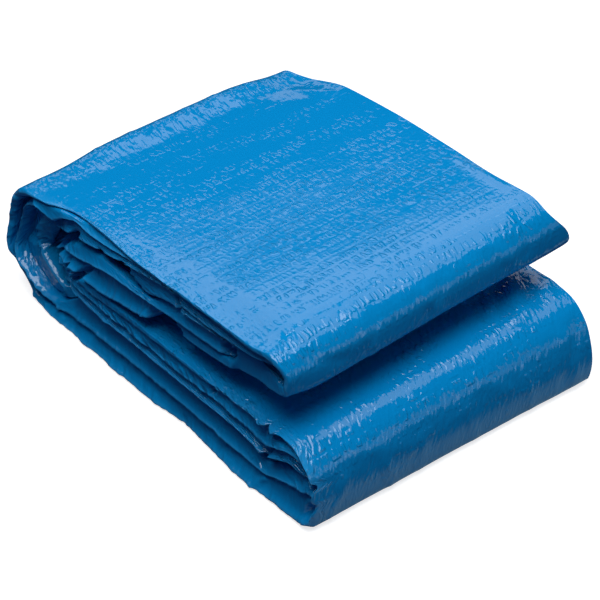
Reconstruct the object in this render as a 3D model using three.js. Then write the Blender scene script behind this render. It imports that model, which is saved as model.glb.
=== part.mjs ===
import * as THREE from 'three';

// A ground cloth for a pool, folded for storage. The cloth is first folded back and forth across its width
// into a strip. Both ends of the strip are then folded in to the middle, and the strip is folded in half
// round its left end. One closed sheet is built, from edge to edge, with its layers a little apart.
// Sizes are in millimetres. X runs from the left bend to the free ends, Y from the near side to the far
// side, and Z up from the surface that the cloth rests on.

const SHEET = 1.1;
const WIDTH = 250;
const LAYERS = 6;
const PAIR_GAP = 2.3;
const INNERMOST = 0.93;
const SIDE_BLEND = 34;
const UPPER_SKEW = -8;
const LOWER_SKEW = 5;
const SKEW_FROM = 180;
const SKEW_TO = 300;
const FAR_RISE = 3;

// The strip's path, one row a place. The outer point lies on the strip's outside face and the inner point
// where the strip's innermost layer is. Steps is the count of slices to the next row.
const PATH_COLUMNS = ['place', 'outerX', 'outerZ', 'innerX', 'innerZ', 'steps'];
const PATH_ROWS = [
  ['upper flap end', 27, 64, 38, 75, 1],
  ['upper flap', 60, 61, 62, 77.5, 1],
  ['upper flap', 110, 63, 108, 83, 2],
  ['upper flap', 190, 69, 186, 91, 1],
  ['upper flap', 255, 74, 248, 97, 1],
  ['upper end', 287, 77, 276, 99.5, 1],
  ['upper end', 305, 84, 286, 101, 2],
  ['upper end', 314, 95, 290, 103, 2],
  ['upper end', 313, 108, 290, 105.5, 2],
  ['upper end', 303, 121, 286, 107.5, 2],
  ['top', 285, 127, 276, 107, 1],
  ['top', 245, 122.5, 239, 102.5, 2],
  ['top', 190, 116.5, 186, 96.5, 2],
  ['top', 120, 109.5, 118, 89.5, 1],
  ['top', 60, 103, 63, 83.5, 2],
  ['left bend', 22, 101, 40, 81, 1],
  ['left bend', -1, 98.5, 25, 76, 2],
  ['left bend', -14, 83, 14, 66, 2],
  ['left bend', -21, 62, 8, 55, 2],
  ['left bend', -22, 40, 8, 44, 2],
  ['left bend', -17, 20, 14, 34, 2],
  ['left bend', -1, 5, 26, 29, 2],
  ['bottom', 32, 0.55, 42, 27, 1],
  ['bottom', 95, 0.55, 95, 27.5, 2],
  ['bottom', 200, 0.55, 198, 27.5, 2],
  ['bottom', 290, 0.55, 284, 27.5, 2],
  ['lower end', 336, 0.55, 315, 27, 1],
  ['lower end', 344, 4, 320, 28, 2],
  ['lower end', 345, 20, 321.5, 29.5, 2],
  ['lower end', 343, 42, 321.5, 31.5, 2],
  ['lower end', 337, 56, 319.5, 33.3, 2],
  ['lower flap', 321, 61.5, 312, 34, 1],
  ['lower flap', 285, 60, 280, 33.5, 2],
  ['lower flap', 200, 58, 198, 33, 2],
  ['lower flap', 110, 57, 110, 33, 1],
  ['lower flap end', 38, 53, 44, 33, 0],
];

// The three rolled folds on the near side, one row a place on the path. Depths are parts of the strip's
// thickness: of the outside layer, of the crease between the first and second roll, of the crease between
// the second and third roll, and of the innermost layer. Reach is where each roll ends in Y.
const NEAR_COLUMNS = ['at', 'outside', 'crease1', 'crease2', 'inside', 'reach1', 'reach2', 'reach3', 'round'];
const NEAR_ROWS = [
  [0, 0.1, 0.42, 0.78, 0.98, 6, 9, 14, 5],
  [1, -0.05, 0.4, 0.8, 1.0, 0, 4, 7, 6],
  [2, -0.14, 0.6, 0.95, 1.14, -4, 0, 3, 8],
  [2.5, -0.06, 0.6, 0.94, 1.13, -4, -1, 2, 8],
  [2.75, 0.32, 0.62, 0.94, 1.12, 2, -1, 2, 5],
  [3.3, 0.38, 0.65, 0.94, 1.12, 1, 0, 2, 5],
  [4, 0.36, 0.64, 0.91, 1.09, 1, 4, 6, 5],
  [5, 0.42, 0.65, 0.87, 1.04, 2, 9, 11, 5],
  [6, 0.26, 0.5, 0.74, 0.95, 3, 10, 12, 5],
  [7, 0.08, 0.4, 0.7, 0.9, 4, 11, 13, 5],
  [8, 0.1, 0.4, 0.7, 0.9, 4, 11, 13, 5],
  [9, 0.22, 0.48, 0.74, 0.92, 2, 9, 12, 5],
  [10, 0.22, 0.5, 0.74, 0.93, 0, 3, 9, 5],
  [11, 0.18, 0.48, 0.73, 0.92, -1, 5, 2, 5],
  [12, 0.06, 0.34, 0.68, 0.88, -2, 0, 1, 5],
  [13, 0, 0.34, 0.66, 0.87, 0, 1, 1, 5],
  [14, 0, 0.36, 0.7, 0.88, 2, 4, 4, 5],
  [16, 0, 0.3, 0.6, 0.9, 2, 7, 12, 5],
  [18, 0, 0.26, 0.56, 0.9, -2, 5, 14, 5],
  [20, 0, 0.3, 0.6, 0.9, -4, 4, 12, 5],
  [22, 0, 0.3, 0.84, 1.02, -8, -1, 3, 5],
  [23, 0, 0.4, 0.92, 1.1, -9, -5, -4, 5],
  [24, 0, 0.5, 0.94, 1.12, -7, -5, -4, 5],
  [25, 0, 0.52, 0.88, 1.04, -10, -6, -4, 5],
  [26, 0, 0.5, 0.84, 1.02, -10, -4, -2, 5],
  [28, 0, 0.3, 0.62, 0.9, 0, 3, 5, 5],
  [30, 0.06, 0.24, 0.56, 0.88, 0, 2, 4, 6],
  [31, 0.08, 0.24, 0.5, 0.84, -1, 0, 1, 9],
  [32, 0.14, 0.3, 0.74, 0.94, -2, -2, -2, 11],
  [33, 0.16, 0.34, 0.68, 0.88, -2, -3, -3, 11],
  [34, 0.14, 0.4, 0.68, 0.86, -1, -2, -2, 10],
  [35, 0.08, 0.4, 0.7, 0.9, 4, 6, 9, 8],
];

// The far side, one row a place. The outside layer ends there in a free edge, and the innermost one too.
// Depths are of the second layer and of the creases before and after the second of the two folds.
const FAR_COLUMNS = ['at', 'second', 'crease1', 'crease2', 'edge', 'reach1', 'reach2', 'inner'];
const FAR_ROWS = [
  [0, 0.2, 0.52, 0.86, 248, 246, 243, 240],
  [3, 0.2, 0.52, 0.88, 246, 250, 247, 243],
  [5, 0.22, 0.54, 0.88, 250, 249, 246, 243],
  [7, 0.2, 0.52, 0.86, 266, 252, 248, 244],
  [9, 0.2, 0.52, 0.86, 250, 248, 246, 243],
  [11, 0.2, 0.54, 0.88, 249, 253, 249, 244],
  [12, 0.2, 0.54, 0.88, 256, 254, 249, 244],
  [13, 0.22, 0.56, 0.88, 262, 256, 252, 247],
  [14, 0.22, 0.56, 0.88, 264, 256, 252, 247],
  [15, 0.22, 0.54, 0.86, 260, 255, 249, 244],
  [16, 0.22, 0.54, 0.86, 256, 252, 249, 244],
  [18, 0.2, 0.5, 0.84, 255, 249, 244, 240],
  [21, 0.2, 0.52, 0.86, 252, 250, 246, 242],
  [24, 0.24, 0.58, 0.9, 252, 256, 253, 249],
  [26, 0.22, 0.54, 0.88, 250, 254, 251, 246],
  [28, 0.22, 0.54, 0.88, 254, 251, 248, 244],
  [30, 0.2, 0.52, 0.86, 254, 251, 248, 244],
  [33, 0.22, 0.54, 0.88, 252, 254, 251, 246],
  [35, 0.2, 0.52, 0.86, 248, 246, 243, 240],
];

// Where points stand across each layer, in Y, between its two folds.
const OUTSIDE_LAYER_Y = [236, 205, 150, 90, 40, 18];
const INNER_LAYER_Y = [226, 128, 32];
const NEAR_FOLD_POINTS = [4, 3, 3];
const FAR_FOLD_POINTS = [3, 3];
const FOLD_SQUARENESS = 0.8;
const FAR_ROUND = 4;

const namedRows = (columns, rows) => rows.map((row) => Object.fromEntries(columns.map((name, i) => [name, row[i]])));

// A smooth run through values at keys that never swings past them.
function easeThrough(keys, values) {
  const last = keys.length - 1;
  const slopes = [];
  for (let i = 0; i < last; i++) {
    slopes.push((values[i + 1] - values[i]) / (keys[i + 1] - keys[i]));
  }
  const tangents = keys.map((key, i) => {
    if (i === 0) return slopes[0];
    if (i === last) return slopes[last - 1];
    const before = slopes[i - 1];
    const after = slopes[i];
    if (before * after <= 0) return 0;
    const stepBefore = keys[i] - keys[i - 1];
    const stepAfter = keys[i + 1] - keys[i];
    const weightBefore = 2 * stepAfter + stepBefore;
    const weightAfter = stepAfter + 2 * stepBefore;
    return (weightBefore + weightAfter) / (weightBefore / before + weightAfter / after);
  });
  return (key) => {
    let i = 0;
    while (i < last - 1 && key > keys[i + 1]) i++;
    const span = keys[i + 1] - keys[i];
    const t = Math.min(1, Math.max(0, (key - keys[i]) / span));
    const startPart = (1 + 2 * t) * (1 - t) * (1 - t);
    const startTurn = t * (1 - t) * (1 - t);
    const endPart = t * t * (3 - 2 * t);
    const endTurn = t * t * (t - 1);
    return startPart * values[i] + endPart * values[i + 1]
      + span * (startTurn * tangents[i] + endTurn * tangents[i + 1]);
  };
}

const smooth = (t) => {
  const held = Math.min(1, Math.max(0, t));
  return held * held * (3 - 2 * held);
};

const path = namedRows(PATH_COLUMNS, PATH_ROWS);
const distances = [0];
for (let i = 1; i < path.length; i++) {
  const stepX = path[i].outerX - path[i - 1].outerX;
  const stepZ = path[i].outerZ - path[i - 1].outerZ;
  distances.push(distances[i - 1] + Math.hypot(stepX, stepZ));
}
const alongPath = (name) => easeThrough(distances, path.map((row) => row[name]));
const outerX = alongPath('outerX');
const outerZ = alongPath('outerZ');
const innerX = alongPath('innerX');
const innerZ = alongPath('innerZ');

const distanceAt = (place) => {
  const before = Math.min(distances.length - 2, Math.floor(place));
  return distances[before] + (place - before) * (distances[before + 1] - distances[before]);
};

function sideTable(columns, rows) {
  const named = namedRows(columns, rows);
  const keys = named.map((row) => distanceAt(row.at));
  const table = {};
  for (const name of columns.slice(1)) {
    table[name] = easeThrough(keys, named.map((row) => row[name]));
  }
  return table;
}
const near = sideTable(NEAR_COLUMNS, NEAR_ROWS);
const far = sideTable(FAR_COLUMNS, FAR_ROWS);

const slices = [];
for (let i = 0; i < path.length - 1; i++) {
  for (let step = 0; step < path[i].steps; step++) {
    slices.push(distances[i] + (distances[i + 1] - distances[i]) * step / path[i].steps);
  }
}
slices.push(distances[path.length - 1]);

// The line of one slice across the strip, from the outside layer's free edge on the far side to the
// innermost layer's free edge, as pairs of depth and Y.
function sliceLine(distance) {
  const thickness = Math.hypot(innerX(distance) - outerX(distance), innerZ(distance) - outerZ(distance));
  const half = PAIR_GAP / 2 / thickness;
  const crease1 = near.crease1(distance);
  const crease2 = near.crease2(distance);
  const nearDepth = [near.outside(distance), crease1 - half, crease1 + half, crease2 - half,
    crease2 + half, near.inside(distance)];
  const farCrease1 = far.crease1(distance);
  const farCrease2 = far.crease2(distance);
  const farDepth = [0, far.second(distance), farCrease1 - half, farCrease1 + half,
    farCrease2 - half, farCrease2 + half];
  const depthAt = (layer, y) => {
    const middle = INNERMOST * layer / (LAYERS - 1);
    const nearPart = 1 - smooth(y / SIDE_BLEND);
    const farPart = smooth((y - WIDTH + SIDE_BLEND) / SIDE_BLEND);
    return middle + (nearDepth[layer] - middle) * nearPart + (farDepth[layer] - middle) * farPart;
  };
  const line = [];
  const fold = (layer, reach, round, points, side) => {
    const start = depthAt(layer, side < 0 ? 0 : WIDTH);
    const end = depthAt(layer + 1, side < 0 ? 0 : WIDTH);
    const middle = (start + end) / 2;
    const rise = (end - start) / 2;
    for (let i = 0; i <= points + 1; i++) {
      const angle = Math.PI * i / (points + 1);
      const out = Math.pow(Math.max(0, Math.sin(angle)), FOLD_SQUARENESS);
      line.push([middle - rise * Math.cos(angle), reach - side * round * (1 - out)]);
    }
  };
  const across = (layer, places) => {
    for (const y of places) line.push([depthAt(layer, y), y]);
  };
  const returning = [...INNER_LAYER_Y].reverse();
  const nearReach = [near.reach1(distance), near.reach2(distance), near.reach3(distance)];
  const farReach = [far.reach1(distance), far.reach2(distance)];
  line.push([0, far.edge(distance)]);
  across(0, OUTSIDE_LAYER_Y);
  for (let pair = 0; pair < LAYERS / 2; pair++) {
    const layer = 2 * pair;
    const height = Math.abs(depthAt(layer + 1, 0) - depthAt(layer, 0)) * thickness;
    const round = pair === 0 ? near.round(distance) : Math.min(6, 0.8 * height);
    fold(layer, nearReach[pair], round, NEAR_FOLD_POINTS[pair], -1);
    across(layer + 1, returning);
    if (pair === LAYERS / 2 - 1) break;
    fold(layer + 1, farReach[pair], FAR_ROUND, FAR_FOLD_POINTS[pair], 1);
    across(layer + 2, INNER_LAYER_Y);
  }
  line.push([farDepth[LAYERS - 1], far.inner(distance)]);
  return line;
}

// Where a depth and a Y lie in space, on the slice at a distance along the path.
function placed(distance, depth, y) {
  const startX = outerX(distance);
  const startZ = outerZ(distance);
  const x = startX + (innerX(distance) - startX) * depth;
  let z = startZ + (innerZ(distance) - startZ) * depth;
  const towardsEnd = smooth((x - SKEW_FROM) / (SKEW_TO - SKEW_FROM));
  const upper = smooth((z - 58) / 12);
  const skew = UPPER_SKEW * upper + LOWER_SKEW * (1 - smooth(z / 60));
  z += FAR_RISE * smooth((z - 2) / 58) * Math.min(1, Math.max(0, y / WIDTH));
  return new THREE.Vector3(x + skew * towardsEnd * y / WIDTH, y, z);
}

const middleGrid = slices.map((distance) => sliceLine(distance).map(([depth, y]) => placed(distance, depth, y)));
const rowCount = middleGrid.length;
const columnCount = middleGrid[0].length;

// The sheet's own thickness is laid half to each side of its middle surface.
function faceNormal(row, column) {
  const alongRows = middleGrid[Math.min(row + 1, rowCount - 1)][column].clone()
    .sub(middleGrid[Math.max(row - 1, 0)][column]);
  const alongColumns = middleGrid[row][Math.min(column + 1, columnCount - 1)].clone()
    .sub(middleGrid[row][Math.max(column - 1, 0)]);
  return alongRows.cross(alongColumns).normalize();
}
const positions = [];
for (const side of [1, -1]) {
  for (let row = 0; row < rowCount; row++) {
    for (let column = 0; column < columnCount; column++) {
      const point = middleGrid[row][column].clone().addScaledVector(faceNormal(row, column), side * SHEET / 2);
      positions.push(point);
    }
  }
}
for (const point of positions) {
  point.z = Math.max(0, point.z);
}
const index = (side, row, column) => side * rowCount * columnCount + row * columnCount + column;
const triangles = [];
const quad = (a, b, c, d) => {
  const acrossFirst = positions[a].distanceTo(positions[c]);
  const acrossSecond = positions[b].distanceTo(positions[d]);
  if (acrossFirst <= acrossSecond) {
    triangles.push(a, b, c, a, c, d);
  } else {
    triangles.push(a, b, d, b, c, d);
  }
};
for (let row = 0; row < rowCount - 1; row++) {
  for (let column = 0; column < columnCount - 1; column++) {
    quad(index(0, row, column), index(0, row + 1, column), index(0, row + 1, column + 1), index(0, row, column + 1));
    quad(index(1, row, column), index(1, row, column + 1), index(1, row + 1, column + 1), index(1, row + 1, column));
  }
}
for (let column = 0; column < columnCount - 1; column++) {
  quad(index(0, 0, column), index(0, 0, column + 1), index(1, 0, column + 1), index(1, 0, column));
  const end = rowCount - 1;
  quad(index(0, end, column), index(1, end, column), index(1, end, column + 1), index(0, end, column + 1));
}
for (let row = 0; row < rowCount - 1; row++) {
  quad(index(0, row, 0), index(1, row, 0), index(1, row + 1, 0), index(0, row + 1, 0));
  const end = columnCount - 1;
  quad(index(0, row, end), index(0, row + 1, end), index(1, row + 1, end), index(1, row, end));
}

const geometry = new THREE.BufferGeometry();
geometry.setAttribute('position', new THREE.Float32BufferAttribute(positions.flatMap((p) => [p.x, p.y, p.z]), 3));
geometry.setIndex(triangles);
geometry.computeBoundingBox();
const box = geometry.boundingBox;
geometry.translate(-(box.min.x + box.max.x) / 2, -(box.min.y + box.max.y) / 2, -box.min.z);
geometry.computeVertexNormals();

const coatedCloth = new THREE.MeshStandardMaterial({ color: 0x0a72bd, roughness: 0.32, metalness: 0 });
const cloth = new THREE.Mesh(geometry, coatedCloth);
cloth.name = 'ground_cloth';

const group = new THREE.Group();
group.name = 'folded_ground_cloth';
group.add(cloth);

export default group;
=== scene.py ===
"""The folded pool ground cloth: its coated woven sheet, a pale floor and soft studio light."""

import math
from collections import namedtuple

import bpy
import numpy as np
from mathutils import Matrix, Vector


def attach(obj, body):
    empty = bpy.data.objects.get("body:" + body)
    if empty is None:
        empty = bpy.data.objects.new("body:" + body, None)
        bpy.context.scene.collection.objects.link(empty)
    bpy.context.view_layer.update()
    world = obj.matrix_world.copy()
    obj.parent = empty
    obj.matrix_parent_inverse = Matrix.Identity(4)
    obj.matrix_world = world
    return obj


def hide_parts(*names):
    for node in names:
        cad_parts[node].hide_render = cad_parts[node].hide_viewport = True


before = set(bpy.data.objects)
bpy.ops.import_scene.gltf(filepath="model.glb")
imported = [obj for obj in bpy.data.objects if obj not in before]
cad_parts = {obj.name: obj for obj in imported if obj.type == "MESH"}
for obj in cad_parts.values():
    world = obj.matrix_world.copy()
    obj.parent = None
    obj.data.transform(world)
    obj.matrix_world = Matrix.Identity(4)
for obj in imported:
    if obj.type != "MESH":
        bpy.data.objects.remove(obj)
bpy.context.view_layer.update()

# The cloth is laid out in millimetres. X runs from the left bend to the free ends, Y from the near side
# to the far side, and Z up. The row's own origin lies under the middle of the cloth.
MILLIMETRE = 0.001
ORIGIN_X = 163.68
ORIGIN_Y = 127.63
WIDTH = 250.0
LAYERS = 6
PAIR_GAP = 1.7
INNERMOST = 0.93
SIDE_BLEND = 30.0
UPPER_SKEW = -8.0
LOWER_SKEW = 5.0
FAR_RISE = 3.0
CORNER_DROOP = 7.0
SHOULDER_RISE = 3.2
SHOULDER_OUT = 4.0
FLOOR_CLEARANCE = 0.25

# From where to where a share grows from nought to one: the skew towards the free ends, the strip's upper
# and lower half, the rise of the far side, and the shoulder and the drooping corner over the left bend.
SKEW_X = (180, 300)
UPPER_HALF_Z = (58, 70)
LOWER_HALF_Z = (0, 60)
FAR_RISE_Z = (2, 60)
SHOULDER_X = (26, -10)
SHOULDER_Y = (25, 100)
SHOULDER_Z = (62, 87)
DROOP_X = (62, 2)
DROOP_Y = (195, 255)
DROOP_Z = (40, 90)

# The strip's path, one row a place: a point on the strip's outside face, a point where its innermost
# layer is, and how far apart the rows of the mesh are from there on.
PATH_COLUMNS = ("outer_x", "outer_z", "inner_x", "inner_z", "row_step")
PATH_ROWS = [
    (40, 62.5, 48, 77, 1.8),
    (60, 61, 62, 77.5, 1.9),
    (110, 63, 108, 83, 1.9),
    (190, 69, 186, 91, 1.9),
    (255, 74, 250, 97, 1.9),
    (287, 77, 284, 101, 1.8),
    (305, 84, 299, 104, 1.8),
    (314, 95, 303, 106, 1.8),
    (313, 108, 303, 108, 1.8),
    (302, 121.8, 297, 109.5, 1.8),
    (286, 126.6, 283, 108, 1.9),
    (256, 124.4, 252, 105.5, 1.9),
    (190, 116.8, 186, 97, 1.9),
    (120, 109.5, 118, 89.5, 1.9),
    (60, 102.5, 63, 83.5, 1.8),
    (24, 98.5, 42, 80, 1.6),
    (3, 95.6, 38, 74.5, 1.5),
    (-12, 84, 34, 67, 1.5),
    (-21, 62, 29, 57.5, 1.5),
    (-23, 40, 23, 50, 1.5),
    (-15, 23, 29, 44, 1.5),
    (0, 12, 38, 38, 1.7),
    (18, 0.9, 46, 32, 1.8),
    (95, 0.55, 95, 27.5, 2.0),
    (200, 0.55, 199, 27.5, 2.0),
    (290, 0.55, 289, 27.5, 1.8),
    (336, 0.55, 333, 34, 1.7),
    (344, 4, 337, 37, 1.8),
    (345, 20, 338, 39, 2.0),
    (341.5, 41, 336, 40, 1.8),
    (333, 53, 331, 41, 1.7),
    (320, 60, 318, 38, 1.8),
    (300, 62, 298, 34.5, 1.9),
    (200, 58, 198, 33, 2.0),
    (110, 57, 110, 33, 1.9),
    (38, 52.6, 45.5, 35.5, 1.8),
]

# The straight strips of the path, from place to place.
STRIPS = {"upper_flap": (0, 5), "top": (10, 15), "bottom": (22, 26), "lower_flap": (31, 35)}

# Where the creases between the rolled folds of the near side run. On a strip a row is a place in X and
# heights above the floor. On a bend it is a place of the path and millimetres in from the outside face.
# The values are of the outside layer, the creases after the first and second roll, and the innermost layer.
CREASE_COLUMNS = ("strip", "where", "outside", "crease1", "crease2", "inside")
CREASE_ROWS = [
    ("upper_flap", 44, 60, 68, 75, 78),
    ("upper_flap", 60, 57, 67.5, 77, 79.8),
    ("upper_flap", 80, 57, 71, 83, 86),
    ("upper_flap", 100, 57.3, 76, 86.5, 90),
    ("upper_flap", 110, 58.5, 79, 87, 92),
    ("upper_flap", 125, 61.5, 81, 87.3, 95.5),
    ("upper_flap", 135, 62.7, 82, 87.3, 98),
    ("upper_flap", 145, 64.5, 82.3, 87, 100.5),
    ("upper_flap", 155, 67, 83, 86.7, 102),
    ("upper_flap", 163, 70, 83.7, 87.5, 103.5),
    ("upper_flap", 172, 73, 83, 90.5, 105),
    ("upper_flap", 181, 72, 83, 93.5, 106.5),
    ("upper_flap", 192, 73, 83, 95.7, 108),
    ("upper_flap", 200, 74, 83.2, 97, 101),
    ("upper_flap", 215, 75.5, 84, 98, 101.3),
    ("upper_flap", 235, 78, 85.5, 100.8, 102.5),
    ("upper_flap", 253, 80.5, 87.5, 101.8, 103.4),
    ("upper_flap", 259, 81.5, 100, 102.5, 104),
    ("upper_flap", 268, 83.5, 101, 103.5, 105),
    ("upper_flap", 280, 86.5, 103, 105.5, 107),
    ("place", 6, 6, 17.5, 19, 20.4),
    ("place", 7, 2, 9, 11, 13.2),
    ("place", 8, 0, 5.5, 7, 8.6),
    ("place", 9, 0.6, 6, 8, 11),
    ("top", 280, 121, 117, 114, 109),
    ("top", 261, 120, 117.3, 113, 106.3),
    ("top", 236, 118.3, 115.8, 111, 104),
    ("top", 215, 117, 114.3, 109.5, 102.7),
    ("top", 206, 116.3, 113.5, 108.5, 102.3),
    ("top", 200, 116, 113.2, 109, 102.6),
    ("top", 193, 115.2, 113, 111.4, 109.3),
    ("top", 186, 114.3, 112.5, 111, 109.2),
    ("top", 161, 112.6, 110.8, 108.3, 104.8),
    ("top", 152, 111.8, 110, 107.2, 103),
    ("top", 132, 109.8, 108, 104.5, 99),
    ("top", 101, 107.3, 105.6, 98.5, 92.2),
    ("top", 80, 105, 103.2, 96.5, 87.5),
    ("top", 72, 104.2, 102.6, 98.7, 86),
    ("top", 65, 103.5, 102, 98.5, 85),
    ("top", 59, 102.7, 101.3, 96.8, 84),
    ("top", 51, 102, 100.7, 94.8, 83),
    ("top", 42, 101, 99.8, 90.3, 82),
    ("top", 34, 100, 98.8, 87.3, 81),
    ("place", 15.6, 0, 5, 13, 31),
    ("place", 16, 0, 8.5, 19, 39),
    ("place", 17, 0, 8.5, 19, 47),
    ("place", 18, 0, 8, 19, 48),
    ("place", 19, 0, 6, 15, 44.5),
    ("place", 19.5, 0, 4, 12, 45),
    ("place", 20, 0, 3, 13, 46),
    ("place", 21, 0, 4, 16, 43.5),
    ("bottom", 22, 0.8, 6, 15, 31),
    ("bottom", 34, 0.55, 7.5, 16, 29.5),
    ("bottom", 44, 0.55, 8, 23, 29),
    ("bottom", 53, 0.55, 9, 31, 33),
    ("bottom", 65, 0.55, 10, 31.5, 33.2),
    ("bottom", 85, 0.55, 12, 31, 32.7),
    ("bottom", 105, 0.55, 13.5, 31, 32.7),
    ("bottom", 135, 0.55, 14.5, 32, 33.7),
    ("bottom", 165, 0.55, 14.5, 32.5, 34.2),
    ("bottom", 195, 0.55, 15, 32, 34),
    ("bottom", 225, 0.55, 15, 30, 32.5),
    ("bottom", 255, 0.55, 15, 29, 31.5),
    ("bottom", 275, 0.55, 15, 28, 30.5),
    ("bottom", 292, 0.55, 14.5, 24, 27),
    ("bottom", 305, 0.55, 19, 31, 33.5),
    ("bottom", 325, 0.55, 24, 38, 39.7),
    ("place", 26.4, 0, 25, 37, 38.5),
    ("place", 27, 0, 22, 32, 33.5),
    ("place", 28, 0, 7, 18, 19.6),
    ("place", 29, 0, 1.5, 3.2, 4.8),
    ("place", 30, 0.8, 1.8, 4, 13.4),
    ("lower_flap", 319, 61, 59.2, 51.5, 41.5),
    ("lower_flap", 305, 60.6, 58.3, 45.5, 36.6),
    ("lower_flap", 293, 60.2, 58.3, 40.2, 31.8),
    ("lower_flap", 280, 59.8, 58, 42, 34.5),
    ("lower_flap", 262, 59.3, 57.4, 43.8, 36.4),
    ("lower_flap", 235, 58.6, 56, 44.3, 36.4),
    ("lower_flap", 205, 58, 55, 43.3, 36.4),
    ("lower_flap", 175, 57.8, 54, 42.8, 36),
    ("lower_flap", 155, 57.5, 53, 42.3, 35.8),
    ("lower_flap", 135, 57.3, 52, 42.3, 35.4),
    ("lower_flap", 115, 57, 50.5, 42.3, 34.6),
    ("lower_flap", 95, 56, 49, 42.3, 34.4),
    ("lower_flap", 65, 53.5, 48, 42, 35),
    ("lower_flap", 50, 52, 47, 41.5, 35),
]

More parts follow.
